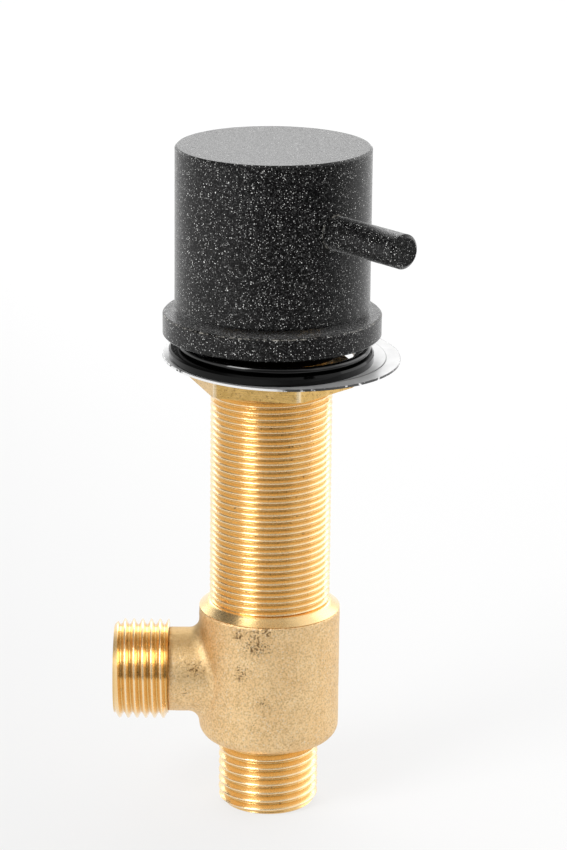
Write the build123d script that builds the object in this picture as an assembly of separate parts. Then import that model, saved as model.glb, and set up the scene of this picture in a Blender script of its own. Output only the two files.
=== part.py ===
from build123d import *
import os
from math import cos, radians, sin, sqrt, tan

# Deck-mounted shut-off valve with a quarter-turn ceramic cartridge.
# Millimetres. The origin is the centre of the inlet's end face, +Z goes up the stem
# and the outlet branch points along -X.

# Cast and machined body
INLET_THREAD_D = 20.7
INLET_THREAD_L = 14.5
INLET_BORE_D = 14.5
THREAD_CHAMFER = 1.2
BARREL_STEP = 2.1
BARREL_H = 28.4
BARREL_ROUND = 3.0
BEVEL_LOWER_H = 1.1
BEVEL_UPPER_H = 0.5
BEVEL_MIDDLE_STEP = 0.8
BEVEL_TOP_STEP = 0.3
STEM_THREAD_D = 24.8
STEM_THREAD_L = 58.8
STEM_TURNS_PER_INCH = 19
STEM_THREAD_DEPTH = 0.8
STEM_CHAMFER = 0.6
BODY_WALL = 2.9
SEAT_ABOVE_BARREL_END = 4.5
THROAT_LIP = 0.2
THROAT_H = 2.5

# Outlet branch
BRANCH_ABOVE_BARREL_END = 14.1
NECK_D = 17.4
NECK_L = 6.3
NECK_FILLET = 2.5
OUTLET_THREAD_D = 20.7
OUTLET_THREAD_L = 11.3
OUTLET_BORE_D = 13.0
OUTLET_BORE_L = 18.5
OUTLET_LIP = 0.5

# Ceramic cartridge
CAGE_GAP = 0.1
CAGE_WALL = 1.4
CAGE_ROOM_H = 16.4
CAGE_HEAD_H = 10.6
WINDOW_W = 10.5
WINDOW_SILL = 7.6
WINDOW_LINTEL = 0.6
WINDOWS = 4
SEAL_T = 2.0
SEAL_W = 1.75
DISC_T = 2.6
DISC_PORT_IN_R = 2.4
DISC_RIM = 2.05
DISC_PORT_ANGLE = 70.0
DISC_KEY_W = 1.4
DISC_KEY_DEPTH = 0.8
WATER_FILM = 0.02
MOVING_DISC_PLAY = 0.2
DRIVE_SLOT_W = 3.0
DRIVE_SLOT_DEPTH = 1.2
DRIVER_BAR_W = 5.0
DRIVER_BAR_H = 2.1
DRIVER_BAR_ROOM = 1.0
DRIVER_HUB_D = 8.4
CARTRIDGE_RING_SECTION = 1.46
CARTRIDGE_RING_ABOVE_SEAT = 21.0
SLIP = 0.05

# Spindle
SPINDLE_ROOM = 3.0
SPINDLE_STEP = 1.1
SPINDLE_SHOULDER_W = 1.4
SPINDLE_SHOULDER_H = 1.0
LOWER_SQUARE = 4.9
LOWER_SQUARE_L = 5.0
UPPER_SQUARE_CORNER_GAP = 0.08
UPPER_SQUARE_L = 9.0
SPINDLE_RING_SECTION = 1.0
SPINDLE_RING_HEIGHTS = (2.7, 8.0)
THRUST_WASHER_T = 0.4
THRUST_WASHER_W = 2.0
CIRCLIP_T = 0.8
CIRCLIP_W = 1.1
CIRCLIP_DEPTH = 0.65
CIRCLIP_MOUTH = 3.0
STOP_RING_W = 1.2
STOP_RING_T = 1.4
STOP_ABOVE_CLIP = 0.4
STOP_LUG_GAP = 0.1
STOP_FLAT_DEPTH = 1.0
STOP_FINGER_ANGLE = 60.0
TURN_ANGLE = 90.0
TURN_PLAY = 1.0

# Sleeve and gland that hold the cartridge down
SLEEVE_WALL = 1.9
GLAND_THREAD_L = 9.6
GLAND_HEX_STEP = 1.0
GLAND_HEX_H = 2.6
GLAND_HEAD_GAP = 0.3
GLAND_BORE_PLAY = 0.1

# Top flange and collar
FLANGE_WALL = 1.85
FLANGE_WASHER_GAP = 0.3
FLANGE_ABOVE_STEM = 0.7
COLLAR_STEP = 2.4
COLLAR_H = 4.65
COLLAR_LIP_T = 1.65
COLLAR_BORE_GAP = 0.5
COLLAR_EDGE = 0.35

# Knob and lever, as they stand in the rest position
KNOB_D = 39.4
KNOB_H = 33.0
KNOB_GAP = 0.95
KNOB_EDGE = 0.45
KNOB_CAVITY_GAP = 2.2
KNOB_SOCKET_D = 13.0
KNOB_SOCKET_BELOW_LEVER = 5.4
KNOB_SOCKET_ABOVE_LEVER = 6.6
INSERT_STEP = 1.5
LEVER_ANGLE = -50.0
LEVER_DOWN = 14.2
LEVER_D = 6.9
LEVER_REACH = 20.0
LEVER_EDGE = 0.7
LEVER_SPOT_DEPTH = 0.5
LEVER_THREAD_D = 5.0
LEVER_THREAD_L = 5.6
GRUB_GAP = 0.5
GRUB_HEX_AF = 2.5
GRUB_HEX_DEPTH = 2.5

# Clamping stack, which lies loose, shifted and a little tilted on the nut
NUT_WALL = 2.6
NUT_H = 4.7
NUT_EDGE = 0.5
NUT_CORNER_ANGLE = -71.3
WASHER_W = 9.4
WASHER_PLAY = 2.3
WASHER_T = 0.6
WASHER_STEP = 0.15
WASHER_RIM_W = 2.9
WASHER_THREAD_GAP = 0.35
WASHER_SHIFT_ANGLE = 9.0
GASKET_W = 3.7
GASKET_PLAY = 2.7
GASKET_T = 1.7
GASKET_EDGE = 0.4
GASKET_FLANGE_GAP = 0.9
GASKET_SHIFT_ANGLE = -94.0
DECK_RING_PLAY = 3.7
DECK_RING_SECTION = 1.5
DECK_RING_FLANGE_GAP = 2.05
DECK_RING_SHIFT_ANGLE = -76.0
STACK_TILT_RIGHT = 1.1
STACK_TILT_FRONT = 1.5
STACK_TOP_GAP = 0.25
NUT_GAP = 0.02

# Radii that follow from the sizes above
inlet_r = INLET_THREAD_D / 2
outlet_r = OUTLET_THREAD_D / 2
stem_r = STEM_THREAD_D / 2
barrel_r = stem_r + BARREL_STEP
stem_root_r = stem_r - STEM_THREAD_DEPTH
bore_r = stem_r - BODY_WALL
cage_r = bore_r - CAGE_GAP
room_r = cage_r - CAGE_WALL
disc_r = room_r - SLIP
seal_bore_r = disc_r - SEAL_W
throat_r = seal_bore_r - THROAT_LIP
port_r = disc_r - DISC_RIM
moving_disc_r = room_r - MOVING_DISC_PLAY
journal_r = room_r - SPINDLE_ROOM
spindle_rod_r = journal_r - SPINDLE_STEP
upper_square = sqrt(2) * (spindle_rod_r - UPPER_SQUARE_CORNER_GAP)
stop_ring_r = journal_r + STOP_RING_W
stop_flat_x = journal_r - STOP_FLAT_DEPTH
sleeve_bore_r = cage_r - SLEEVE_WALL
stop_lug_r = sleeve_bore_r - STOP_LUG_GAP
gland_hex_af = 2 * (bore_r - GLAND_HEX_STEP)
gland_corner_r = gland_hex_af / 2 / cos(radians(30))
flange_bore_r = stem_r + SLIP
flange_r = flange_bore_r + FLANGE_WALL
knob_r = KNOB_D / 2
collar_r = knob_r + COLLAR_STEP
collar_bore_r = gland_corner_r + COLLAR_BORE_GAP
cavity_r = gland_corner_r + KNOB_CAVITY_GAP
nut_flat_r = stem_r + NUT_WALL
nut_corner_r = nut_flat_r / cos(radians(30))
washer_hole_r = stem_r + WASHER_PLAY
washer_r = washer_hole_r + WASHER_W
gasket_hole_r = flange_r + GASKET_PLAY
gasket_r = gasket_hole_r + GASKET_W
deck_ring_r = flange_r + DECK_RING_PLAY + DECK_RING_SECTION

# How far the loose rings lie from the axis, and the slope of the stack
washer_off = WASHER_PLAY - WASHER_THREAD_GAP
gasket_off = GASKET_PLAY - GASKET_FLANGE_GAP
deck_ring_off = DECK_RING_PLAY - DECK_RING_FLANGE_GAP
stack_slope = sqrt(tan(radians(STACK_TILT_RIGHT)) ** 2 + tan(radians(STACK_TILT_FRONT)) ** 2)
stack_rise = stack_slope * (deck_ring_r + washer_off + deck_ring_off)

# Heights that follow from the sizes above
barrel_z = INLET_THREAD_L
bevel_z = barrel_z + BARREL_H
bevel_middle_z = bevel_z + BEVEL_LOWER_H
stem_z = bevel_middle_z + BEVEL_UPPER_H
stem_top_z = stem_z + STEM_THREAD_L
branch_z = barrel_z + BRANCH_ABOVE_BARREL_END
neck_end = barrel_r + NECK_L
outlet_end = neck_end + OUTLET_THREAD_L
seat_z = barrel_z + SEAT_ABOVE_BARREL_END
head_z = seat_z + CAGE_ROOM_H
cage_top_z = head_z + CAGE_HEAD_H
fixed_disc_z = seat_z + SEAL_T
moving_disc_z = fixed_disc_z + DISC_T + WATER_FILM
driver_z = moving_disc_z + DISC_T + SLIP
shoulder_top_z = head_z - SLIP - THRUST_WASHER_T
shoulder_z = shoulder_top_z - SPINDLE_SHOULDER_H
driver_top_z = shoulder_z - SLIP
clip_z = cage_top_z + SLIP
stop_z = clip_z + CIRCLIP_T + STOP_ABOVE_CLIP
stop_top_z = stop_z + STOP_RING_T
gland_head_z = stem_top_z + GLAND_HEAD_GAP
gland_z = gland_head_z - GLAND_THREAD_L
flange_top_z = stem_top_z + FLANGE_ABOVE_STEM
collar_top_z = flange_top_z + COLLAR_LIP_T
collar_z = collar_top_z - COLLAR_H
washer_z = collar_z - STACK_TOP_GAP - stack_rise - DECK_RING_SECTION - GASKET_T - WASHER_T
flange_z = washer_z + WASHER_T + stack_slope * (flange_r + washer_off) + FLANGE_WASHER_GAP
nut_top_z = washer_z - stack_slope * nut_corner_r - NUT_GAP
nut_z = nut_top_z - NUT_H
knob_z = collar_top_z + KNOB_GAP
knob_top_z = knob_z + KNOB_H
lever_z = knob_top_z - LEVER_DOWN
socket_z = lever_z - KNOB_SOCKET_BELOW_LEVER
socket_top_z = lever_z + KNOB_SOCKET_ABOVE_LEVER
insert_step_z = socket_z + INSERT_STEP
square_top_z = insert_step_z + UPPER_SQUARE_L


def turned(points):
    """A solid turned about Z from a closed outline of (radius, height) points."""
    return revolve(Plane.XZ * make_face(Polyline(*points, close=True)), Axis.Z)


def rod(radius, low, high):
    return Pos(0, 0, low) * Cylinder(radius, high - low, align=(Align.CENTER, Align.CENTER, Align.MIN))


def ring(outer, inner, low, high):
    return rod(outer, low, high) - rod(inner, low, high)


def square_bar(width, low, high):
    return Pos(0, 0, low) * Box(width, width, high - low, align=(Align.CENTER, Align.CENTER, Align.MIN))


def hex_bar(across_flats, low, high):
    outline = RegularPolygon(across_flats / 2 / cos(radians(30)), 6)
    return Pos(0, 0, low) * extrude(outline, high - low)


def sector(outer, inner, start, sweep, low, high):
    """Part of a ring that starts at one angle, in degrees, and sweeps on from it."""
    outline = Pos((outer + inner) / 2, 0) * Rectangle(outer - inner, high - low)
    wedge = revolve(Plane.XZ * outline, Axis.Z, revolution_arc=sweep)
    return Pos(0, 0, (low + high) / 2) * Rot(0, 0, start) * wedge


def round_seal(centre_r, section_d, height):
    return Pos(0, 0, height) * Torus(centre_r, section_d / 2)


def radial(part, angle, height):
    """A part built along +X from the axis, turned to an angle and raised to a height."""
    return Pos(0, 0, height) * Rot(0, 0, angle) * part


def bar_along_x(radius, start, end):
    bar = Cylinder(radius, end - start, align=(Align.CENTER, Align.CENTER, Align.MIN))
    return Pos(start, 0, 0) * Rot(0, 90, 0) * bar


def off_axis(distance, angle):
    return Pos(distance * cos(radians(angle)), distance * sin(radians(angle)), 0)


def on_stack(part, height, distance, angle):
    """Lays a part built on z = 0 on the tilted stack, above the washer's underside and off the axis."""
    centre = off_axis(washer_off, WASHER_SHIFT_ANGLE)
    tilt = Pos(0, 0, washer_z) * centre * Rot(STACK_TILT_FRONT, STACK_TILT_RIGHT, 0) * centre.inverse()
    return tilt * off_axis(distance, angle) * Pos(0, 0, height) * part


def stem_ridges():
    """Outline of the stem's thread, as plain rings at the thread's own pitch."""
    pitch = IN / STEM_TURNS_PER_INCH
    turns = int((STEM_THREAD_L - STEM_CHAMFER) / pitch)
    points = []
    for turn in range(turns):
        points.append((stem_root_r, stem_z + (turn + 0.5) * pitch))
        points.append((stem_r, stem_z + (turn + 1) * pitch))
    return points


def valve_body():
    outer = turned([
        (0, 0),
        (inlet_r - THREAD_CHAMFER, 0),
        (inlet_r, THREAD_CHAMFER),
        (inlet_r, barrel_z),
        (barrel_r, barrel_z),
        (barrel_r, bevel_z),
        (stem_r + BEVEL_MIDDLE_STEP, bevel_middle_z),
        (stem_r + BEVEL_TOP_STEP, stem_z),
        (stem_r, stem_z),
        *stem_ridges(),
        (stem_r, stem_top_z - STEM_CHAMFER),
        (stem_r - STEM_CHAMFER, stem_top_z),
        (0, stem_top_z),
    ])
    circles = outer.edges().filter_by(GeomType.CIRCLE)
    lower_edges = circles.filter_by_position(Axis.Z, barrel_z - 0.01, barrel_z + 0.01)
    outer = fillet(lower_edges.sort_by(SortBy.RADIUS)[-1:], BARREL_ROUND)
    neck = radial(bar_along_x(NECK_D / 2, 0, neck_end), 180, branch_z)
    outer = outer + neck
    joint_edges = [
        edge for edge in outer.edges()
        if -barrel_r - 0.1 < edge.center().X < -bore_r and edge.geom_type != GeomType.CIRCLE
        and edge.geom_type != GeomType.LINE
    ]
    outer = fillet(joint_edges, NECK_FILLET)
    outlet = Rot(0, 90, 0) * turned([
        (0, neck_end),
        (outlet_r, neck_end),
        (outlet_r, outlet_end - THREAD_CHAMFER),
        (outlet_r - THREAD_CHAMFER, outlet_end),
        (0, outlet_end),
    ])
    outer = outer + radial(outlet, 180, branch_z)
    inlet_bore = rod(INLET_BORE_D / 2, -1, seat_z - THROAT_H)
    throat = rod(throat_r, 0, seat_z + 1)
    cartridge_bore = rod(bore_r, seat_z, stem_top_z + 1)
    outlet_bore = bar_along_x(OUTLET_BORE_D / 2, outlet_end - OUTLET_BORE_L, outlet_end + 1)
    outlet_bore += bar_along_x(OUTLET_BORE_D / 2 - OUTLET_LIP, 0, outlet_end)
    return outer - inlet_bore - throat - cartridge_bore - radial(outlet_bore, 180, branch_z)


def seat_seal():
    return ring(disc_r, seal_bore_r, seat_z, fixed_disc_z)


def disc_ports(start, low, high):
    ports = [
        sector(port_r, DISC_PORT_IN_R, start + half * 180, DISC_PORT_ANGLE, low - 1, high + 1)
        for half in range(2)
    ]
    return ports[0] + ports[1]


def key_pair(width, depth, low, high):
    """Two ribs on the wall of the cage, on the Y axis, that stop the fixed disc from turning."""
    rib = Box(width, depth, high - low, align=(Align.CENTER, Align.MAX, Align.MIN))
    near = Pos(0, room_r + SLIP, low) * rib
    return near + Rot(0, 0, 180) * near


def fixed_disc():
    top = fixed_disc_z + DISC_T
    disc = rod(disc_r, fixed_disc_z, top) - disc_ports(-DISC_PORT_ANGLE / 2, fixed_disc_z, top)
    return disc - key_pair(DISC_KEY_W + 2 * SLIP, DISC_KEY_DEPTH + 3 * SLIP, fixed_disc_z, top)


def moving_disc():
    top = moving_disc_z + DISC_T
    disc = rod(moving_disc_r, moving_disc_z, top)
    disc -= disc_ports(90 - DISC_PORT_ANGLE / 2, moving_disc_z, top)
    slot = Pos(0, 0, top) * Box(2 * bore_r, DRIVE_SLOT_W, 2 * DRIVE_SLOT_DEPTH)
    return disc - slot


def disc_driver():
    bar_top = driver_z + DRIVER_BAR_H
    bar_l = 2 * (moving_disc_r - DRIVER_BAR_ROOM)
    bar = Pos(0, 0, driver_z) * Box(
        bar_l, DRIVER_BAR_W, DRIVER_BAR_H, align=(Align.CENTER, Align.CENTER, Align.MIN))
    tongue = Pos(0, 0, driver_z) * Box(
        bar_l - 1, DRIVE_SLOT_W - 2 * SLIP, DRIVE_SLOT_DEPTH, align=(Align.CENTER, Align.CENTER, Align.MAX))
    hub = rod(DRIVER_HUB_D / 2, bar_top, driver_top_z)
    socket = square_bar(LOWER_SQUARE + 2 * SLIP, driver_top_z - LOWER_SQUARE_L - SLIP, driver_top_z)
    return bar + tongue + hub - socket


def cartridge_cage():
    room = ring(cage_r, room_r, seat_z, head_z)
    head = ring(cage_r, journal_r + SLIP, head_z, cage_top_z)
    ribs = key_pair(DISC_KEY_W, DISC_KEY_DEPTH + SLIP, fixed_disc_z, fixed_disc_z + DISC_T)
    groove_r = cage_r - CARTRIDGE_RING_SECTION + CAGE_GAP / 2
    groove_z = seat_z + CARTRIDGE_RING_ABOVE_SEAT
    groove_h = CARTRIDGE_RING_SECTION + 0.4
    groove = ring(cage_r + 1, groove_r, groove_z - groove_h / 2, groove_z + groove_h / 2)
    lug_angle = 360 - STOP_FINGER_ANGLE - TURN_ANGLE - 2 * TURN_PLAY
    lug_start = STOP_FINGER_ANGLE / 2 + TURN_ANGLE + TURN_PLAY
    lug = sector(stop_lug_r, stop_ring_r + 2 * SLIP, lug_start, lug_angle, cage_top_z, stop_top_z)
    cage = room + head + ribs + lug - groove
    window_h = CAGE_ROOM_H - WINDOW_SILL - WINDOW_LINTEL
    window = Pos(0, 0, seat_z + WINDOW_SILL) * Box(
        cage_r + 1, WINDOW_W, window_h, align=(Align.MIN, Align.CENTER, Align.MIN))
    for index in range(WINDOWS):
        cage -= Rot(0, 0, index * 360 / WINDOWS) * window
    return cage


def cartridge_oring():
    centre_r = bore_r - CARTRIDGE_RING_SECTION / 2 - 0.02
    return round_seal(centre_r, CARTRIDGE_RING_SECTION, seat_z + CARTRIDGE_RING_ABOVE_SEAT)


def spindle():
    shaft = square_bar(LOWER_SQUARE, shoulder_z - LOWER_SQUARE_L, shoulder_z)
    shaft += rod(journal_r + SPINDLE_SHOULDER_W, shoulder_z, shoulder_top_z)
    shaft += rod(journal_r, shoulder_top_z, stop_top_z)
    shaft += rod(spindle_rod_r, stop_top_z, insert_step_z)
    shaft += square_bar(upper_square, insert_step_z, square_top_z)
    groove_r = journal_r - SPINDLE_RING_SECTION - SLIP
    groove_h = SPINDLE_RING_SECTION + 0.3
    for height in SPINDLE_RING_HEIGHTS:
        centre = head_z + height
        shaft -= ring(journal_r + 1, groove_r, centre - groove_h / 2, centre + groove_h / 2)
    shaft -= ring(journal_r + 1, journal_r - CIRCLIP_DEPTH, clip_z - SLIP, clip_z + CIRCLIP_T + SLIP)
    flat = Pos(stop_flat_x, 0, stop_z) * Box(
        journal_r, 2 * journal_r + 1, STOP_RING_T + 1, align=(Align.MIN, Align.CENTER, Align.MIN))
    for side in (0, 180):
        shaft -= Rot(0, 0, side) * flat
    return shaft


def spindle_oring(height):
    centre_r = journal_r - SPINDLE_RING_SECTION / 2 - SLIP / 2
    return round_seal(centre_r, SPINDLE_RING_SECTION, head_z + height)


def thrust_washer():
    outer = journal_r + THRUST_WASHER_W
    return ring(outer, journal_r + SLIP, shoulder_top_z, shoulder_top_z + THRUST_WASHER_T)


def circlip():
    clip = ring(journal_r + CIRCLIP_W, journal_r - CIRCLIP_DEPTH + SLIP, clip_z, clip_z + CIRCLIP_T)
    mouth = Pos(0, 0, clip_z) * Box(
        2 * journal_r, CIRCLIP_MOUTH, CIRCLIP_T, align=(Align.MIN, Align.CENTER, Align.MIN))
    return clip - mouth


def stop_ring():
    plate = rod(stop_ring_r, stop_z, stop_top_z)
    finger_start = -STOP_FINGER_ANGLE / 2
    plate += sector(stop_lug_r - SLIP, 0.5, finger_start, STOP_FINGER_ANGLE, stop_z, stop_top_z)
    hole = rod(journal_r + SLIP, stop_z, stop_top_z)
    hole &= Pos(0, 0, stop_z) * Box(
        2 * (stop_flat_x + SLIP), 2 * journal_r + 1, STOP_RING_T, align=(Align.CENTER, Align.CENTER, Align.MIN))
    return plate - hole


def spacer_sleeve():
    return ring(cage_r, sleeve_bore_r, cage_top_z, gland_z)


def gland_nut():
    gland = rod(bore_r - SLIP, gland_z, gland_head_z)
    gland += hex_bar(gland_hex_af, gland_head_z, gland_head_z + GLAND_HEX_H)
    return gland - rod(spindle_rod_r + GLAND_BORE_PLAY, gland_z, gland_head_z + GLAND_HEX_H)


def top_flange():
    return ring(flange_r, flange_bore_r, flange_z, flange_top_z)


def collar():
    inner = flange_r + SLIP
    return turned([
        (inner, collar_z),
        (collar_r - COLLAR_EDGE, collar_z),
        (collar_r, collar_z + COLLAR_EDGE),
        (collar_r, collar_top_z - COLLAR_EDGE),
        (collar_r - COLLAR_EDGE, collar_top_z),
        (collar_bore_r, collar_top_z),
        (collar_bore_r, flange_top_z),
        (inner, flange_top_z),
    ])


def knob():
    body = turned([
        (0, knob_z),
        (knob_r - KNOB_EDGE, knob_z),
        (knob_r, knob_z + KNOB_EDGE),
        (knob_r, knob_top_z - KNOB_EDGE),
        (knob_r - KNOB_EDGE, knob_top_z),
        (0, knob_top_z),
    ])
    body -= rod(cavity_r, knob_z, socket_z)
    body -= rod(KNOB_SOCKET_D / 2, socket_z, socket_top_z)
    tapped = bar_along_x(LEVER_THREAD_D / 2, 0, knob_r)
    spot = bar_along_x(LEVER_D / 2 + SLIP, knob_r - LEVER_SPOT_DEPTH, knob_r + 1)
    return body - radial(tapped, LEVER_ANGLE, lever_z) - radial(spot, LEVER_ANGLE, lever_z)


def knob_insert():
    insert = rod(KNOB_SOCKET_D / 2 - SLIP, socket_z, socket_top_z)
    insert -= rod(spindle_rod_r + SLIP, socket_z, insert_step_z)
    return insert - square_bar(upper_square + 2 * SLIP, insert_step_z, square_top_z + SLIP)


def lever_pin():
    seat = knob_r - LEVER_SPOT_DEPTH
    end = knob_r + LEVER_REACH
    grip = Rot(0, 90, 0) * turned([
        (0, seat),
        (LEVER_D / 2, seat),
        (LEVER_D / 2, end - LEVER_EDGE),
        (LEVER_D / 2 - LEVER_EDGE, end),
        (0, end),
    ])
    spigot = bar_along_x(LEVER_THREAD_D / 2 - SLIP, seat - LEVER_THREAD_L, seat)
    return radial(grip + spigot, LEVER_ANGLE, lever_z)


def grub_screw():
    tip = KNOB_SOCKET_D / 2
    tail = knob_r - LEVER_SPOT_DEPTH - LEVER_THREAD_L - GRUB_GAP
    screw = bar_along_x(LEVER_THREAD_D / 2 - SLIP, tip, tail)
    key = Pos(tail - GRUB_HEX_DEPTH, 0, 0) * Rot(0, 90, 0) * hex_bar(GRUB_HEX_AF, 0, GRUB_HEX_DEPTH)
    return radial(screw - key, LEVER_ANGLE, lever_z)


def lock_nut():
    outer = nut_corner_r + NUT_EDGE
    blank = Rot(0, 0, NUT_CORNER_ANGLE) * hex_bar(2 * nut_flat_r, nut_z, nut_top_z)
    crown = turned([
        (0, nut_z),
        (nut_corner_r - NUT_EDGE, nut_z),
        (outer, nut_z + 2 * NUT_EDGE * tan(radians(30))),
        (outer, nut_top_z + NUT_EDGE),
        (0, nut_top_z + NUT_EDGE),
    ])
    return (blank & crown) - rod(stem_r + SLIP, nut_z, nut_top_z)


def steel_washer():
    washer = ring(washer_r, washer_hole_r, 0, WASHER_T)
    washer -= ring(washer_r + 1, washer_r - WASHER_RIM_W, WASHER_T - WASHER_STEP, WASHER_T)
    return on_stack(washer, 0, washer_off, WASHER_SHIFT_ANGLE)


def deck_gasket():
    gasket = turned([
        (gasket_hole_r, 0),
        (gasket_r, 0),
        (gasket_r, GASKET_T - GASKET_EDGE),
        (gasket_r - GASKET_EDGE, GASKET_T),
        (gasket_hole_r, GASKET_T),
    ])
    return on_stack(gasket, WASHER_T, gasket_off, GASKET_SHIFT_ANGLE)


def deck_oring():
    section_r = DECK_RING_SECTION / 2
    seal = Torus(deck_ring_r - section_r, section_r)
    return on_stack(seal, WASHER_T + GASKET_T + section_r, deck_ring_off, DECK_RING_SHIFT_ANGLE)


pieces = {
    "valve_body": valve_body(),
    "seat_seal": seat_seal(),
    "fixed_disc": fixed_disc(),
    "moving_disc": moving_disc(),
    "disc_driver": disc_driver(),
    "cartridge_cage": cartridge_cage(),
    "cartridge_oring": cartridge_oring(),
    "spindle": spindle(),
    "spindle_oring_lower": spindle_oring(SPINDLE_RING_HEIGHTS[0]),
    "spindle_oring_upper": spindle_oring(SPINDLE_RING_HEIGHTS[1]),
    "thrust_washer": thrust_washer(),
    "circlip": circlip(),
    "stop_ring": stop_ring(),
    "spacer_sleeve": spacer_sleeve(),
    "gland_nut": gland_nut(),
    "top_flange": top_flange(),
    "collar": collar(),
    "deck_oring": deck_oring(),
    "deck_gasket": deck_gasket(),
    "steel_washer": steel_washer(),
    "lock_nut": lock_nut(),
    "knob_insert": knob_insert(),
    "knob": knob(),
    "lever_pin": lever_pin(),
    "grub_screw": grub_screw(),
}

os.makedirs("parts", exist_ok=True)
for name, piece in pieces.items():
    export_step(piece, f"parts/{name}.step")
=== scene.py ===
"""Visual model of the deck-mounted shut-off valve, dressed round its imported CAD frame."""

import math

import bmesh
import bpy
from mathutils import Matrix, Vector, noise


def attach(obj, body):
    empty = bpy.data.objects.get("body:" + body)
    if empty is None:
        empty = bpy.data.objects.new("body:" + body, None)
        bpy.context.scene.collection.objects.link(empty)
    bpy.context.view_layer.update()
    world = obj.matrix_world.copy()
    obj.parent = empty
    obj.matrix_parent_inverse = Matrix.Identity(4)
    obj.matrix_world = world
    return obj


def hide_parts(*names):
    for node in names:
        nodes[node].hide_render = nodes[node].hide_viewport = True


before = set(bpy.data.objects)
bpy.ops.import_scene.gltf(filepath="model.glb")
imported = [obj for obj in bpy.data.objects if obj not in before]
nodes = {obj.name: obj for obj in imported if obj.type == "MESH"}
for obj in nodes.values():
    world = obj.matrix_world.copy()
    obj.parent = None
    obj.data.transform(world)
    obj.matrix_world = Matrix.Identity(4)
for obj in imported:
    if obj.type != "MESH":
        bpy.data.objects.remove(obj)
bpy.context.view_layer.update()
MM = 0.001

# Sizes of the turned and cast brass, in millimetres, as in the CAD source
INLET_R = 10.35
INLET_BORE_R = 7.25
OUTLET_BORE_R = 6.5
BARREL_Z = 14.5
BARREL_R = 14.5
BEVEL_Z = 42.9
BEVEL_MIDDLE_R = 13.2
BEVEL_MIDDLE_Z = 44.0
BEVEL_TOP_R = 12.7
STEM_Z = 44.5
STEM_R = 12.4
STEM_TOP_Z = 103.3
CARTRIDGE_BORE_R = 9.5
BRANCH_Z = 28.6
NECK_END = 20.8
OUTLET_END = 32.1
STEM_PITCH = 25.4 / 19
PIPE_PITCH = 25.4 / 14
COLLAR_EDGE = (21.95, 105.45)
LEVER_Z = 125.4
LEVER_ANGLE = -50.0
LEVER_SPOT_R = 3.5
WASHER_CENTRE = (1.93, 0.31)
WASHER_R = 24.1
WASHER_STEP_W = 2.9
# Height in millimetres under which the flange is painted in shade
FLANGE_SHADE_Z = 100.4
NUT_CORNER_R = 17.32

# Thread form with a 55 degree angle, in shares of the pitch
THREAD_HALF_ANGLE = math.radians(27.5)
THREAD_DEPTH = 0.6403
THREAD_ROUND_R = 0.1373
THREAD_ROUND_REACH = THREAD_ROUND_R * math.cos(THREAD_HALF_ANGLE)
# Rows of vertices in one turn, closer on the round crest and root than on the flanks
THREAD_ROWS = (0.0, 0.062, 0.122, 0.25, 0.378, 0.438, 0.5, 0.562, 0.622, 0.75, 0.878, 0.938)
THREAD_SEGMENTS = 128
TURNED_SEGMENTS = 160
INLET_CHAMFERS = (1.2, 0.0)
OUTLET_CHAMFERS = (0.0, 1.2)
STEM_CHAMFERS = (0.3, 0.6)
# Turn of the stem's thread that puts its crests where the photo has them
STEM_PHASE = 0.52
# Edges that turn more than this stay sharp
SHARP_ANGLE = math.radians(35)

# Casting: overlap with the machined ends, grid of the grain, bore that stays smooth, and the grain's depths
CUT_OVERLAP = 0.02
GRAIN_GRID = 0.30
SMOOTH_R = 10.5
GRAIN_DEPTH = 0.035
SWELL_DEPTH = 0.05
# Casting: noise cells to a millimetre
FINE_RATE = 1.9
COARSE_RATE = 0.8
SWELL_RATE = 0.16


def new_object(name, mesh):
    thing = bpy.data.objects.new(name, mesh)
    bpy.context.scene.collection.objects.link(thing)
    return thing


def finish_mesh(name, bm):
    """Turns a bmesh in millimetres into an object in metres, smooth except over sharp edges."""
    bmesh.ops.remove_doubles(bm, verts=bm.verts, dist=0.001)
    bmesh.ops.recalc_face_normals(bm, faces=bm.faces)
    for face in bm.faces:
        face.smooth = True
    for edge in bm.edges:
        edge.smooth = len(edge.link_faces) == 2 and edge.calc_face_angle(0.0) < SHARP_ANGLE
    bm.transform(Matrix.Scale(MM, 4))
    mesh = bpy.data.meshes.new(name)
    bm.to_mesh(mesh)
    bm.free()
    return new_object(name, mesh)


def thread_drop(share):
    """Depth of the thread under its crest, in pitches, at a share of one turn."""
    off = min(share, 1 - share)
    if off < THREAD_ROUND_REACH:
        return THREAD_ROUND_R - math.sqrt(THREAD_ROUND_R ** 2 - off ** 2)
    if off > 0.5 - THREAD_ROUND_REACH:
        return THREAD_DEPTH - THREAD_ROUND_R + math.sqrt(THREAD_ROUND_R ** 2 - (0.5 - off) ** 2)
    flank_top = THREAD_ROUND_R * (1 - math.sin(THREAD_HALF_ANGLE))
    return flank_top + (off - THREAD_ROUND_REACH) / math.tan(THREAD_HALF_ANGLE)


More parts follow.
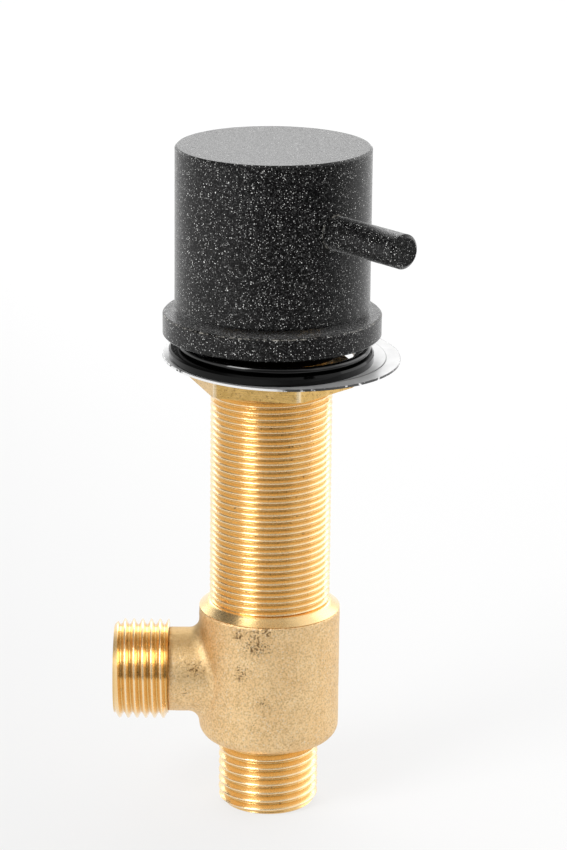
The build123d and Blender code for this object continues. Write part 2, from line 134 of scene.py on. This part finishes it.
def threaded_tube(radius, pitch, low, high, bore, chamfers, phase=0.0):
    """A tube along Z with a right-hand thread outside and a plain bore.

    The rows of the grid follow the helix, so each crest is one clean line of vertices.
    """
    segments = THREAD_SEGMENTS
    samples = len(THREAD_ROWS)
    first = -2 * samples
    last = (math.ceil((high - low) / pitch) + 1) * samples
    rows = last - first + 1
    bm = bmesh.new()
    grid = []
    for column in range(segments):
        angle = 2 * math.pi * column / segments
        start = low + phase * pitch + pitch * column / segments
        line = []
        for row in range(first, last + 1):
            place = row // samples + THREAD_ROWS[row % samples]
            z = min(max(start + pitch * place, low), high)
            r = radius - pitch * thread_drop((z - start) / pitch % 1.0)
            r = min(r, radius - chamfers[0] + (z - low), radius - chamfers[1] + (high - z))
            line.append(bm.verts.new((r * math.cos(angle), r * math.sin(angle), z)))
        grid.append(line)
    for column in range(segments):
        shift = samples if column == segments - 1 else 0
        near, far = grid[column], grid[(column + 1) % segments]
        for row in range(rows - 1 - shift):
            corners = (near[row], far[row + shift], far[row + shift + 1], near[row + 1])
            heights = {corner.co.z for corner in corners}
            if heights != {low} and heights != {high}:
                bm.faces.new(corners)
    ends = []
    for z in (low, high):
        ends.append([
            bm.verts.new((bore * math.cos(a), bore * math.sin(a), z))
            for a in (2 * math.pi * column / segments for column in range(segments))
        ])
    for column in range(segments):
        after = (column + 1) % segments
        bm.faces.new((ends[0][column], ends[0][after], ends[1][after], ends[1][column]))
        bm.faces.new((ends[0][column], ends[0][after], grid[after][0], grid[column][0]))
        bm.faces.new((ends[1][column], ends[1][after], grid[after][-1], grid[column][-1]))
    return bm


def turned(outline):
    """A closed outline of (radius, height) points turned about Z."""
    segments = TURNED_SEGMENTS
    bm = bmesh.new()
    rings = []
    for column in range(segments):
        angle = 2 * math.pi * column / segments
        rings.append([bm.verts.new((r * math.cos(angle), r * math.sin(angle), z)) for r, z in outline])
    for column in range(segments):
        near, far = rings[column], rings[(column + 1) % segments]
        for index in range(len(outline)):
            after = (index + 1) % len(outline)
            bm.faces.new((near[index], far[index], far[after], near[after]))
    return bm


def cut(bm, point, normal):
    """Removes what lies beyond a plane and closes the cut."""
    parts = bm.verts[:] + bm.edges[:] + bm.faces[:]
    made = bmesh.ops.bisect_plane(
        bm, geom=parts, dist=1e-6, plane_co=point, plane_no=normal, clear_outer=True)
    edges = [part for part in made["geom_cut"] if isinstance(part, bmesh.types.BMEdge)]
    bmesh.ops.triangle_fill(bm, use_beauty=True, edges=edges)


def casting():
    """The rough tee between its machined ends, with the grain of a sand casting."""
    bm = bmesh.new()
    bm.from_mesh(nodes["valve_body"].data)
    bm.transform(Matrix.Scale(1 / MM, 4))
    bmesh.ops.remove_doubles(bm, verts=bm.verts, dist=0.0005)
    cut(bm, (0, 0, BEVEL_Z - CUT_OVERLAP), (0, 0, 1))
    cut(bm, (0, 0, BARREL_Z + CUT_OVERLAP), (0, 0, -1))
    cut(bm, (CUT_OVERLAP - NECK_END, 0, 0), (-1, 0, 0))
    bm.transform(Matrix.Scale(MM, 4))
    mesh = bpy.data.meshes.new("body_casting")
    bm.to_mesh(mesh)
    bm.free()
    thing = new_object("body_casting", mesh)
    remesh = thing.modifiers.new("Grain grid", "REMESH")
    remesh.mode = "VOXEL"
    remesh.voxel_size = GRAIN_GRID * MM
    bpy.context.view_layer.update()
    dense = bpy.data.meshes.new_from_object(thing.evaluated_get(bpy.context.evaluated_depsgraph_get()))
    thing.modifiers.clear()
    thing.data = dense
    dense.name = "body_casting"
    normals = [vert.normal.copy() for vert in dense.vertices]
    for vert, normal in zip(dense.vertices, normals):
        place = vert.co / MM
        if math.hypot(place.x, place.y) <= SMOOTH_R:
            continue
        grain = noise.noise(place * FINE_RATE) + 0.7 * noise.noise(place * COARSE_RATE + Vector((7, 3, 1)))
        swell = noise.noise(place * SWELL_RATE + Vector((2, 9, 4)))
        vert.co += normal * MM * (GRAIN_DEPTH * grain + SWELL_DEPTH * swell)
    for face in dense.polygons:
        face.use_smooth = True
    return thing


class Paint:
    """A material made of nodes that read the piece's own coordinates."""

    def __init__(self, name):
        self.material = bpy.data.materials.new(name)
        self.material.use_nodes = True
        self.tree = self.material.node_tree
        self.tree.nodes.clear()
        self.output = self.node("OutputMaterial")
        self.shader = self.node("BsdfPrincipled")
        self.link(self.shader.outputs[0], self.output.inputs["Surface"])
        self.place = self.node("TexCoord").outputs["Object"]

    def node(self, kind, **settings):
        made = self.tree.nodes.new("ShaderNode" + kind)
        for key, value in settings.items():
            setattr(made, key, value)
        return made

    def link(self, source, target):
        self.tree.links.new(source, target)

    def feed(self, socket, value):
        if isinstance(value, bpy.types.NodeSocket):
            self.link(value, socket)
        else:
            socket.default_value = value

    def math(self, operation, first, second=0.0, third=0.0):
        made = self.node("Math", operation=operation)
        for socket, value in zip(made.inputs, (first, second, third)):
            self.feed(socket, value)
        return made.outputs[0]

    def noise(self, size_mm, detail=2.0, rough=0.5, place=None, offset=0.0):
        """Noise around 0.5, whose main features are size_mm across."""
        made = self.node("TexNoise", noise_dimensions="4D")
        self.link(place or self.place, made.inputs["Vector"])
        made.inputs["W"].default_value = offset
        made.inputs["Scale"].default_value = 1 / (size_mm * MM)
        made.inputs["Detail"].default_value = detail
        made.inputs["Roughness"].default_value = rough
        return made.outputs["Fac"]

    def cells(self, size_mm):
        made = self.node("TexVoronoi")
        self.link(self.place, made.inputs["Vector"])
        made.inputs["Scale"].default_value = 1 / (size_mm * MM)
        return made

    def span(self, value, low, high, to_low=0.0, to_high=1.0, smooth=False):
        made = self.node("MapRange", interpolation_type="SMOOTHSTEP" if smooth else "LINEAR")
        for socket, given in zip(made.inputs, (value, low, high, to_low, to_high)):
            self.feed(socket, given)
        return made.outputs[0]

    def blend(self, factor, first, second):
        made = self.node("Mix", data_type="RGBA")
        self.feed(made.inputs[0], factor)
        self.feed(made.inputs[6], first)
        self.feed(made.inputs[7], second)
        return made.outputs[2]

    def axes(self, place=None):
        made = self.node("SeparateXYZ")
        self.link(place or self.place, made.inputs[0])
        return made.outputs

    def gap(self, point_mm):
        """Distance from a point, in metres."""
        made = self.node("VectorMath", operation="DISTANCE")
        self.link(self.place, made.inputs[0])
        made.inputs[1].default_value = Vector(point_mm) * MM
        return made.outputs["Value"]

    def length(self, first, second):
        """Length of the hypotenuse over two sides."""
        squares = self.math("ADD", self.math("MULTIPLY", first, first), self.math("MULTIPLY", second, second))
        return self.math("SQRT", squares)

    def stretched(self, scale):
        made = self.node("VectorMath", operation="MULTIPLY")
        self.link(self.place, made.inputs[0])
        made.inputs[1].default_value = scale
        return made.outputs[0]

    def radius_mm(self, axis="Z"):
        """Distance from the stem's axis, or from the branch's axis along X, in millimetres."""
        x, y, z = self.axes()
        if axis == "X":
            x = self.math("SUBTRACT", z, BRANCH_Z * MM)
        return self.math("MULTIPLY", self.length(x, y), 1 / MM)

    def bump(self, height, depth_mm, strength):
        made = self.node("Bump")
        made.inputs["Strength"].default_value = strength
        made.inputs["Distance"].default_value = depth_mm * MM
        self.link(height, made.inputs["Height"])
        return made.outputs[0]

    def set(self, **values):
        for key, value in values.items():
            self.feed(self.shader.inputs[key.replace("_", " ")], value)
        return self

    def dress(self, *things):
        for thing in things:
            thing.data.materials.clear()
            thing.data.materials.append(self.material)


def grey(value):
    return (value, value, value, 1.0)


def flecks(paint, layers):
    """Small round mineral grains of many sizes and tones, as a factor from 0 to 1."""
    total = None
    for size, radius, share in layers:
        cells = paint.cells(size)
        pick = paint.axes(cells.outputs["Color"])
        edge = paint.math("MULTIPLY", paint.span(pick[1], 0.0, 1.0, 0.4, 1.0), radius)
        near = paint.span(cells.outputs["Distance"], edge, 0.0, 0.0, 3.0)
        near = paint.math("MINIMUM", near, 1.0)
        chosen = paint.math("LESS_THAN", pick[0], share)
        bright = paint.math("POWER", pick[2], 1.35)
        layer = paint.math("MULTIPLY", paint.math("MULTIPLY", near, chosen), bright)
        total = layer if total is None else paint.math("MAXIMUM", total, layer)
    return total


def ring_band(paint, radius, height, reach):
    """1 on a circle about the stem's axis, fading to 0 within a reach, all in millimetres."""
    z = paint.math("MULTIPLY", paint.axes()[2], 1 / MM)
    across = paint.math("SUBTRACT", paint.radius_mm(), radius)
    along = paint.math("SUBTRACT", z, height)
    return paint.span(paint.length(across, along), reach, 0.0, smooth=True)


def lever_band(paint, radius, reach):
    """1 on the rim of the lever's spot face on the knob, fading to 0 within a reach."""
    x, y, z = paint.axes()
    cosine, sine = math.cos(math.radians(LEVER_ANGLE)), math.sin(math.radians(LEVER_ANGLE))
    side = paint.math("SUBTRACT", paint.math("MULTIPLY", y, cosine), paint.math("MULTIPLY", x, sine))
    ahead = paint.math("ADD", paint.math("MULTIPLY", x, cosine), paint.math("MULTIPLY", y, sine))
    rise = paint.math("SUBTRACT", z, LEVER_Z * MM)
    off = paint.math("MULTIPLY", paint.length(side, rise), 1 / MM)
    band = paint.span(paint.math("ABSOLUTE", paint.math("SUBTRACT", off, radius)), reach, 0.0, smooth=True)
    return paint.math("MULTIPLY", band, paint.math("GREATER_THAN", ahead, 0.0))


def coat(name, worn=None):
    """Matte black powder coat with pale mineral flecks, worn thin along the edge that worn picks out."""
    paint = Paint(name)
    grains = flecks(paint, ((0.31, 0.38, 0.60), (0.47, 0.30, 0.40), (0.80, 0.22, 0.35)))
    sand = paint.axes(paint.cells(0.23).outputs["Color"])
    base = paint.blend(paint.math("POWER", sand[0], 5.0), grey(0.0003), grey(0.05))
    color = paint.blend(grains, base, (0.92, 0.92, 0.90, 1.0))
    if worn:
        broken = paint.span(paint.noise(1.1, 3.0, 0.65, offset=9.0), 0.48, 0.64)
        color = paint.blend(paint.math("MULTIPLY", worn(paint), broken), color, (0.36, 0.34, 0.30, 1.0))
    grain = paint.noise(0.30, 2.0, 0.7, offset=3.0)
    rough = paint.span(sand[1], 0.0, 1.0, 0.13, 0.33)
    paint.set(Base_Color=color, Roughness=rough, Normal=paint.bump(grain, 0.08, 0.8))
    paint.set(Specular_IOR_Level=0.24, Sheen_Weight=0.44, Sheen_Roughness=0.25)
    return paint


def on_barrel(bearing, height):
    """A place on the barrel, at a bearing in degrees to the right of the front."""
    turn = math.radians(bearing)
    return (BARREL_R * math.sin(turn), -BARREL_R * math.cos(turn), height)


# Brown casting stains: place in millimetres, reach, strength
STAINS = (
    (on_barrel(-25, 40.8), 3.0, 1.0),
    (on_barrel(-10, 39.2), 5.0, 1.1),
    (on_barrel(-2, 42.3), 2.6, 1.1),
    (on_barrel(-22, 32.6), 3.2, 1.0),
    (on_barrel(-4, 26.4), 2.4, 0.9),
    (on_barrel(-2, 24.0), 1.2, 0.6),
    (on_barrel(-14, 21.5), 2.0, 0.5),
    (on_barrel(22, 17.6), 3.0, 0.6),
    ((-15.5, -8.2, 31.5), 3.2, 0.9),
    ((-17.5, -7.8, 27.0), 2.6, 0.6),
)
# Patches of painted shade on the upper side of the neck: place, reach, reach of the core, strength
NECK_SHADE_PATCHES = (
    ((-18.5, 1.5, 38.5), 10.5, 4.5, 0.85),
    ((-16.5, -8.0, 33.0), 7.0, 2.0, 0.35),
)


def stains(paint):
    """Pitted patches: 1 in the middle of each stain, broken up towards its edge."""
    total = None
    for place, reach, strength in STAINS:
        patch = paint.span(paint.gap(place), reach * MM, 0.0, 0.0, strength)
        total = patch if total is None else paint.math("MAXIMUM", total, patch)
    return total


def cast_brass():
    """Sandblasted cast brass with pits and brown stains where the photo shows them."""
    paint = Paint("cast_brass")
    broad = paint.noise(6.0, 3.0, 0.6)
    fine = paint.noise(0.34, 2.0, 0.8, offset=2.0)
    color = paint.blend(paint.span(broad, 0.35, 0.65), (0.91, 0.64, 0.33, 1.0), (0.97, 0.72, 0.40, 1.0))
    color = paint.blend(paint.span(fine, 0.46, 0.62, 0.0, 0.62), color, (0.46, 0.27, 0.10, 1.0))
    glint = paint.span(paint.noise(0.36, 2.0, 0.7, offset=12.0), 0.56, 0.68, 0.0, 0.8)
    color = paint.blend(glint, color, (0.92, 0.80, 0.60, 1.0))
    # Painted shade on the upper side of the neck
    for place, reach, core, strength in NECK_SHADE_PATCHES:
        painted_shade = paint.span(paint.gap(place), reach * MM, core * MM, 0.0, strength)
        color = paint.blend(painted_shade, color, (0.42, 0.28, 0.11, 1.0))
    stain = stains(paint)
    tint = paint.span(paint.noise(1.6, 3.0, 0.6, offset=15.0), 0.35, 0.65, 0.0, 0.35)
    color = paint.blend(paint.math("MULTIPLY", stain, tint), color, (0.50, 0.27, 0.08, 1.0))
    pits = paint.math("ADD", paint.noise(0.48, 3.0, 0.7, offset=6.0), paint.math("MULTIPLY", stain, 0.20))
    pits = paint.span(pits, 0.66, 0.74, smooth=True)
    color = paint.blend(paint.math("MULTIPLY", pits, 0.9), color, (0.18, 0.095, 0.036, 1.0))
    rough = paint.span(fine, 0.3, 0.7, 0.56, 0.42)
    sand = paint.noise(0.42, 3.0, 0.7, offset=5.0)
    height = paint.math("SUBTRACT", sand, paint.math("MULTIPLY", pits, 0.5))
    paint.set(Base_Color=color, Metallic=1.0, Roughness=rough, Normal=paint.bump(height, 0.16, 0.9))
    return paint


def turned_brass(name, pitch_place, crest_r=None, pitch=0.0, axis="Z"):
    """Bright brass with tool marks round its axis; a thread has painted shade and dark specks in its roots
    and painted highlights on its crests.
    """
    paint = Paint(name)
    broad = paint.noise(5.0, 3.0, 0.6)
    color = paint.blend(paint.span(broad, 0.35, 0.65), (0.98, 0.665, 0.29, 1.0), (1.0, 0.71, 0.34, 1.0))
    fine = paint.noise(0.5, 2.0, 0.6, place=paint.stretched(pitch_place))
    rough = paint.span(fine, 0.3, 0.7, 0.24, 0.32)
    normal = paint.bump(fine, 0.012, 0.6)
    around = paint.node("Tangent", direction_type="RADIAL", axis=axis)
    paint.set(Anisotropic=0.88, Anisotropic_Rotation=0.25, Tangent=around.outputs[0])
    if crest_r:
        depth = paint.span(paint.radius_mm(axis), crest_r, crest_r - 0.64 * pitch)
        # Painted shade in the thread's roots
        painted_shade = paint.span(depth, 0.45, 0.95, 0.0, 0.45, smooth=True)
        color = paint.blend(painted_shade, color, (0.68, 0.40, 0.08, 1.0))
        # Painted highlight along the thread's crests
        color = paint.blend(paint.span(depth, 0.20, 0.02, 0.0, 0.8), color, (1.0, 0.79, 0.50, 1.0))
        specks = paint.span(paint.noise(1.1, 3.0, 0.7, offset=8.0), 0.64, 0.70)
        root = paint.span(depth, 0.70, 0.90)
        color = paint.blend(paint.math("MULTIPLY", specks, root), color, (0.10, 0.05, 0.015, 1.0))
    paint.set(Base_Color=color, Metallic=1.0, Roughness=rough, Normal=normal)
    paint.set(Coat_Weight=0.6, Coat_Roughness=0.20, Coat_IOR=1.6)
    return paint


def nut_brass():
    paint = Paint("stained_nut_brass")
    broad = paint.noise(3.0, 3.0, 0.65)
    fine = paint.noise(0.5, 3.0, 0.7, offset=4.0)
    color = paint.blend(paint.span(broad, 0.35, 0.65), (0.66, 0.41, 0.11, 1.0), (0.88, 0.58, 0.21, 1.0))
    color = paint.blend(paint.span(fine, 0.54, 0.68, 0.0, 0.80), color, (0.22, 0.12, 0.03, 1.0))
    # Painted highlight and wear along the hex corners
    corner = paint.span(paint.radius_mm(), NUT_CORNER_R - 0.35, NUT_CORNER_R - 0.12)
    color = paint.blend(paint.math("MULTIPLY", corner, 0.7), color, (1.0, 0.84, 0.58, 1.0))
    scratch = paint.noise(0.35, 2.0, 0.6, place=paint.stretched((0.15, 0.15, 1.0)), offset=2.0)
    rough = paint.span(scratch, 0.3, 0.7, 0.20, 0.34)
    paint.set(Base_Color=color, Metallic=1.0, Roughness=rough, Normal=paint.bump(scratch, 0.03, 0.5))
    paint.set(Coat_Weight=0.3, Coat_Roughness=0.15, Coat_IOR=1.6)
    return paint


def plain_brass():
    paint = Paint("inner_brass")
    tone = paint.noise(2.0, 3.0, 0.6)
    color = paint.blend(tone, (0.74, 0.48, 0.18, 1.0), (0.84, 0.60, 0.27, 1.0))
    paint.set(Base_Color=color, Metallic=1.0, Roughness=paint.span(tone, 0.3, 0.7, 0.22, 0.34))
    return paint


def flange_brass():
    """Brass in painted shade under the collar, but for a strip along its top that is painted lit on the right
    side.
    """
    paint = Paint("flange_brass")
    z = paint.math("MULTIPLY", paint.axes()[2], 1 / MM)
    # Painted shade under the collar; only the top strip on the right side is painted lit
    right_lit_edge = paint.math("MULTIPLY_ADD", paint.noise(2.0, 2.0, 0.5), 0.006, paint.axes()[0])
    unshaded = paint.math("MULTIPLY", paint.span(z, FLANGE_SHADE_Z - 0.15, FLANGE_SHADE_Z),
                       paint.span(right_lit_edge, -0.003, 0.003))
    color = paint.blend(unshaded, (0.020, 0.014, 0.008, 1.0), (0.84, 0.60, 0.27, 1.0))
    rough = paint.span(paint.noise(1.0, 2.0, offset=1.0), 0.3, 0.7, 0.30, 0.45)
    return paint.set(Base_Color=color, Metallic=1.0, Roughness=rough)


def steel():
    """Bright pressed sheet with a dark, nicked rim."""
    paint = Paint("bright_steel")
    tone = paint.noise(4.0, 3.0, 0.6)
    fine = paint.noise(0.3, 2.0, 0.6, offset=3.0)
    color = paint.blend(paint.span(tone, 0.35, 0.65), grey(0.48), grey(0.56))
    x, y, _ = paint.axes()
    x = paint.math("SUBTRACT", x, WASHER_CENTRE[0] * MM)
    y = paint.math("SUBTRACT", y, WASHER_CENTRE[1] * MM)
    radius = paint.math("MULTIPLY", paint.length(x, y), 1 / MM)
    # Painted shade along the washer's step
    step_shade = paint.math("ABSOLUTE", paint.math("SUBTRACT", radius, WASHER_R - WASHER_STEP_W))
    color = paint.blend(paint.span(step_shade, 0.16, 0.04), color, grey(0.20))
    rim = paint.span(radius, WASHER_R - 0.12, WASHER_R - 0.04)
    color = paint.blend(rim, color, grey(0.94))
    marks = paint.noise(1.2, 3.0, 0.7, offset=6.0)
    right_side = paint.math("MULTIPLY", paint.span(x, -0.001, 0.001), paint.span(marks, 0.38, 0.44))
    far_left = paint.math("MULTIPLY", paint.span(x, -0.0185, -0.0200), paint.span(marks, 0.50, 0.54))
    nicks = paint.math("MULTIPLY", rim, paint.math("MAXIMUM", right_side, far_left))
    color = paint.blend(nicks, color, grey(0.10))
    rough = paint.math("MULTIPLY_ADD", rim, -0.26, paint.span(fine, 0.3, 0.7, 0.34, 0.42))
    paint.set(Base_Color=color, Metallic=paint.span(rim, 0.0, 1.0, 0.5, 1.0), Roughness=rough)
    paint.set(Normal=paint.bump(paint.noise(2.5, 2.0, 0.5, offset=6.0), 0.02, 0.5))
    return paint


def rubber(name, shine):
    paint = Paint(name)
    dust = paint.span(paint.noise(0.6, 3.0, 0.7), 0.66, 0.76)
    color = paint.blend(dust, grey(0.0006), grey(0.005))
    rough = paint.span(paint.noise(1.2, 2.0, 0.6, offset=2.0), 0.3, 0.7, 0.06, 0.11)
    paint.set(Base_Color=color, Roughness=rough, Specular_IOR_Level=shine)
    paint.set(Normal=paint.bump(paint.noise(1.6, 2.0, 0.5, offset=5.0), 0.02, 0.5))
    return paint


def simple(name, dark, light, rough_low, rough_high, metal=0.0, size_mm=1.5):
    paint = Paint(name)
    tone = paint.noise(size_mm, 3.0, 0.6)
    paint.set(Base_Color=paint.blend(tone, dark, light), Metallic=metal)
    paint.set(Roughness=paint.span(tone, 0.3, 0.7, rough_low, rough_high))
    paint.set(Normal=paint.bump(paint.noise(size_mm / 5, 2.0, 0.6, offset=3.0), 0.01, 0.4))
    return paint


# Brass body: the casting and its four machined ends
body_casting = casting()
# Each corner of the bevel is broken by two points, a tenth or two of a millimetre apart
stem_bevel = finish_mesh("stem_bevel", turned([
    (CARTRIDGE_BORE_R, BEVEL_Z),
    (BARREL_R - 0.15, BEVEL_Z),
    (BARREL_R, BEVEL_Z + 0.1),
    (BEVEL_MIDDLE_R + 0.08, BEVEL_MIDDLE_Z - 0.06),
    (BEVEL_MIDDLE_R - 0.04, BEVEL_MIDDLE_Z + 0.06),
    (BEVEL_TOP_R + 0.04, STEM_Z - 0.06),
    (BEVEL_TOP_R - 0.06, STEM_Z),
    (CARTRIDGE_BORE_R, STEM_Z),
]))
stem_thread = finish_mesh("stem_thread", threaded_tube(
    STEM_R, STEM_PITCH, STEM_Z, STEM_TOP_Z, CARTRIDGE_BORE_R, STEM_CHAMFERS, STEM_PHASE))
inlet_thread = finish_mesh("inlet_thread", threaded_tube(
    INLET_R, PIPE_PITCH, 0.0, BARREL_Z, INLET_BORE_R, INLET_CHAMFERS))
outlet_bm = threaded_tube(
    INLET_R, PIPE_PITCH, NECK_END, OUTLET_END, OUTLET_BORE_R, OUTLET_CHAMFERS)
outlet_bm.transform(Matrix.Translation((0, 0, BRANCH_Z)) @ Matrix.Rotation(-math.pi / 2, 4, "Y"))
outlet_thread = finish_mesh("outlet_thread", outlet_bm)
for piece in (body_casting, stem_bevel, stem_thread, inlet_thread, outlet_thread):
    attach(piece, "valve")
    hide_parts("valve_body")

# Materials
cast_brass().dress(body_casting)
turned_brass("turned_stem_brass", (1, 1, 4), STEM_R, STEM_PITCH).dress(stem_thread)
turned_brass("turned_bevel_brass", (1, 1, 4)).dress(stem_bevel)
turned_brass("turned_inlet_brass", (1, 1, 4), INLET_R, PIPE_PITCH).dress(inlet_thread)
turned_brass("turned_outlet_brass", (4, 1, 1), INLET_R, PIPE_PITCH, "X").dress(outlet_thread)
coat("black_granite_coat").dress(nodes["lever_pin"])
coat("knob_coat", lambda paint: lever_band(paint, LEVER_SPOT_R + 0.08, 0.28)).dress(nodes["knob"])
coat("collar_coat", lambda paint: ring_band(paint, *COLLAR_EDGE, 0.24)).dress(nodes["collar"])
nut_brass().dress(nodes["lock_nut"])
steel().dress(nodes["steel_washer"])
rubber("gasket_rubber", 0.20).dress(nodes["deck_gasket"])
rubber("ring_rubber", 0.55).dress(*(nodes[n] for n in (
    "deck_oring", "seat_seal", "cartridge_oring", "spindle_oring_lower", "spindle_oring_upper")))
plain_brass().dress(*(nodes[n] for n in (
    "cartridge_cage", "spindle", "stop_ring", "spacer_sleeve", "gland_nut")))
flange_brass().dress(nodes["top_flange"])
simple("lapped_ceramic", grey(0.84), (0.92, 0.91, 0.88, 1), 0.12, 0.22).dress(
    nodes["fixed_disc"], nodes["moving_disc"])
simple("moulded_plastic", (0.80, 0.79, 0.75, 1), (0.87, 0.86, 0.82, 1), 0.42, 0.55).dress(
    nodes["disc_driver"], nodes["knob_insert"])
simple("sheet_plastic", grey(0.88), grey(0.94), 0.35, 0.45).dress(nodes["thrust_washer"])
simple("hard_steel", grey(0.36), grey(0.50), 0.28, 0.40, metal=1.0).dress(
    nodes["circlip"], nodes["grub_screw"])

# Floor: white to the camera, and for reflections and bounced light a table that ends in front of the valve
TABLE_EDGE_BEARING = math.radians(27)
TABLE_EDGE = (0.24, 0.36)
# Distances in millimetres between which the floor's shade fades to white
FLOOR_FADE = (800, 2500)
HALF_FLOOR = 6.0
floor_corners = [(x * HALF_FLOOR, y * HALF_FLOOR, 0.0) for x, y in ((-1, -1), (1, -1), (1, 1), (-1, 1))]
floor_mesh = bpy.data.meshes.new("floor")
floor_mesh.from_pydata(floor_corners, [], [(0, 1, 2, 3)])
floor = new_object("floor", floor_mesh)
floor_paint = Paint("floor")
rays = floor_paint.node("LightPath").outputs
place = floor_paint.axes()
ahead = floor_paint.math("SUBTRACT", floor_paint.math("MULTIPLY", place[0], math.sin(TABLE_EDGE_BEARING)),
                         floor_paint.math("MULTIPLY", place[1], math.cos(TABLE_EDGE_BEARING)))
table = floor_paint.span(ahead, *TABLE_EDGE, 1.0, 0.08, smooth=True)
tone = floor_paint.math("MAXIMUM", table, rays["Is Camera Ray"])
# The floor is a little darker on the left and in front, as in the photo
side = floor_paint.math("MULTIPLY_ADD", place[1], 0.3, place[0])
shade = floor_paint.span(side, -0.09, 0.09, 0.90, 1.0, smooth=True)
shade = floor_paint.math("MULTIPLY", shade, floor_paint.span(place[1], -0.05, 0.6, 0.94, 0.995))
shade = floor_paint.math("MAXIMUM", shade, floor_paint.span(floor_paint.radius_mm(), *FLOOR_FADE))
seen = floor_paint.math("MAXIMUM", rays["Is Camera Ray"], rays["Is Glossy Ray"])
seen = floor_paint.math("MAXIMUM", seen, rays["Is Transmission Ray"])
white = floor_paint.blend(tone, grey(0.0), grey(0.86))
floor_paint.set(Base_Color=white, Roughness=0.9)
glow = floor_paint.node("Emission")
lit = floor_paint.math("MULTIPLY", tone, shade)
floor_paint.link(floor_paint.blend(lit, grey(0.0), grey(1.0)), glow.inputs["Color"])
both = floor_paint.node("MixShader")
floor_paint.link(floor_paint.math("MULTIPLY", seen, 0.8), both.inputs[0])
floor_paint.link(floor_paint.shader.outputs[0], both.inputs[1])
floor_paint.link(glow.outputs[0], both.inputs[2])
floor_paint.link(both.outputs[0], floor_paint.output.inputs["Surface"])
floor_paint.dress(floor)

# Camera, at the photograph's viewing angle
CAMERA_PLACE = (0.0025, -0.6404, 0.2731)
TILT = math.radians(16.64)
ROLL = math.radians(0.6)
LENS_PIXELS = 3285
LONG_SIDE = 850
camera_data = bpy.data.cameras.new("camera")
camera_data.sensor_width = 36.0
camera_data.lens = LENS_PIXELS / LONG_SIDE * camera_data.sensor_width
camera_data.clip_start = 0.05
camera_data.clip_end = 50.0
camera = new_object("camera", camera_data)
forward = Vector((0.0, math.cos(TILT), -math.sin(TILT)))
right = Vector((1.0, 0.0, 0.0))
up = right.cross(forward)
rolled_right = math.cos(ROLL) * right + math.sin(ROLL) * up
rolled_up = math.cos(ROLL) * up - math.sin(ROLL) * right
axes = Matrix((rolled_right, rolled_up, -forward)).transposed()
camera.matrix_world = Matrix.Translation(CAMERA_PLACE) @ axes.to_4x4()
bpy.context.scene.camera = camera

# Light: soft boxes in a white tent that is open and dark towards the camera
AIM = Vector((0.0, 0.0, 0.075))


def toward(bearing, elevation):
    """Unit vector at a bearing in degrees to the right of the front, and an elevation above the floor."""
    turn, rise = math.radians(bearing), math.radians(elevation)
    return Vector((math.sin(turn) * math.cos(rise), -math.cos(turn) * math.cos(rise), math.sin(rise)))


def soft_box(name, bearing, elevation, distance, width, height, level):
    """A rectangular lamp that faces the valve and looks as bright as its level, where 1 is white."""
    data = bpy.data.lights.new(name, "AREA")
    data.shape = "RECTANGLE"
    data.size = width
    data.size_y = height
    data.energy = level * math.pi * width * height
    lamp = new_object(name, data)
    away = toward(bearing, elevation)
    lamp.location = AIM + away * distance
    lamp.rotation_mode = "QUATERNION"
    lamp.rotation_quaternion = away.to_track_quat("Z", "Y")
    lamp.visible_camera = False


# Lamps: name, bearing, elevation, distance, width, height, level
LAMPS = (
    ("key_box", -46, 38, 0.9, 0.34, 0.50, 8.4),
    ("right_panel", 112, 22, 1.0, 0.9, 0.8, 1.0),
    ("back_panel", 180, 33, 1.2, 1.5, 0.50, 2.6),
)
for lamp_row in LAMPS:
    soft_box(*lamp_row)

world = bpy.data.worlds.new("white_tent")
bpy.context.scene.world = world
world.use_nodes = True
tree = world.node_tree
tree.nodes.clear()
world_out = tree.nodes.new("ShaderNodeOutputWorld")
background = tree.nodes.new("ShaderNodeBackground")
tree.links.new(background.outputs[0], world_out.inputs["Surface"])
direction = tree.nodes.new("ShaderNodeTexCoord").outputs["Generated"]
TENT_LEVEL = 1.05
# Dim patches of the tent: bearing, elevation, angle of the edge, angle of the core, level of the core
DIM_PATCHES = (
    (8, 8, 48, 24, 0.20),
    (-104, 42, 38, 16, 0.12),
    (0, 82, 38, 14, 0.60),
)
level = None
for bearing, elevation, edge, core, low in DIM_PATCHES:
    along = tree.nodes.new("ShaderNodeVectorMath")
    along.operation = "DOT_PRODUCT"
    tree.links.new(direction, along.inputs[0])
    along.inputs[1].default_value = toward(bearing, elevation)
    dim = tree.nodes.new("ShaderNodeMapRange")
    dim.interpolation_type = "SMOOTHSTEP"
    limits = (math.cos(math.radians(edge)), math.cos(math.radians(core)), 1.0, low)
    for socket, value in zip(dim.inputs[1:5], limits):
        socket.default_value = value
    tree.links.new(along.outputs["Value"], dim.inputs[0])
    product = tree.nodes.new("ShaderNodeMath")
    product.operation = "MULTIPLY"
    tree.links.new(dim.outputs[0], product.inputs[0])
    if level is None:
        product.inputs[1].default_value = TENT_LEVEL
    else:
        tree.links.new(level, product.inputs[1])
    level = product.outputs[0]
path = tree.nodes.new("ShaderNodeLightPath")
strength = tree.nodes.new("ShaderNodeMix")
tree.links.new(path.outputs["Is Camera Ray"], strength.inputs[0])
tree.links.new(level, strength.inputs[2])
strength.inputs[3].default_value = 1.0
background.inputs["Color"].default_value = grey(1.0)
tree.links.new(strength.outputs[0], background.inputs["Strength"])

bpy.context.scene.view_settings.view_transform = "Standard"
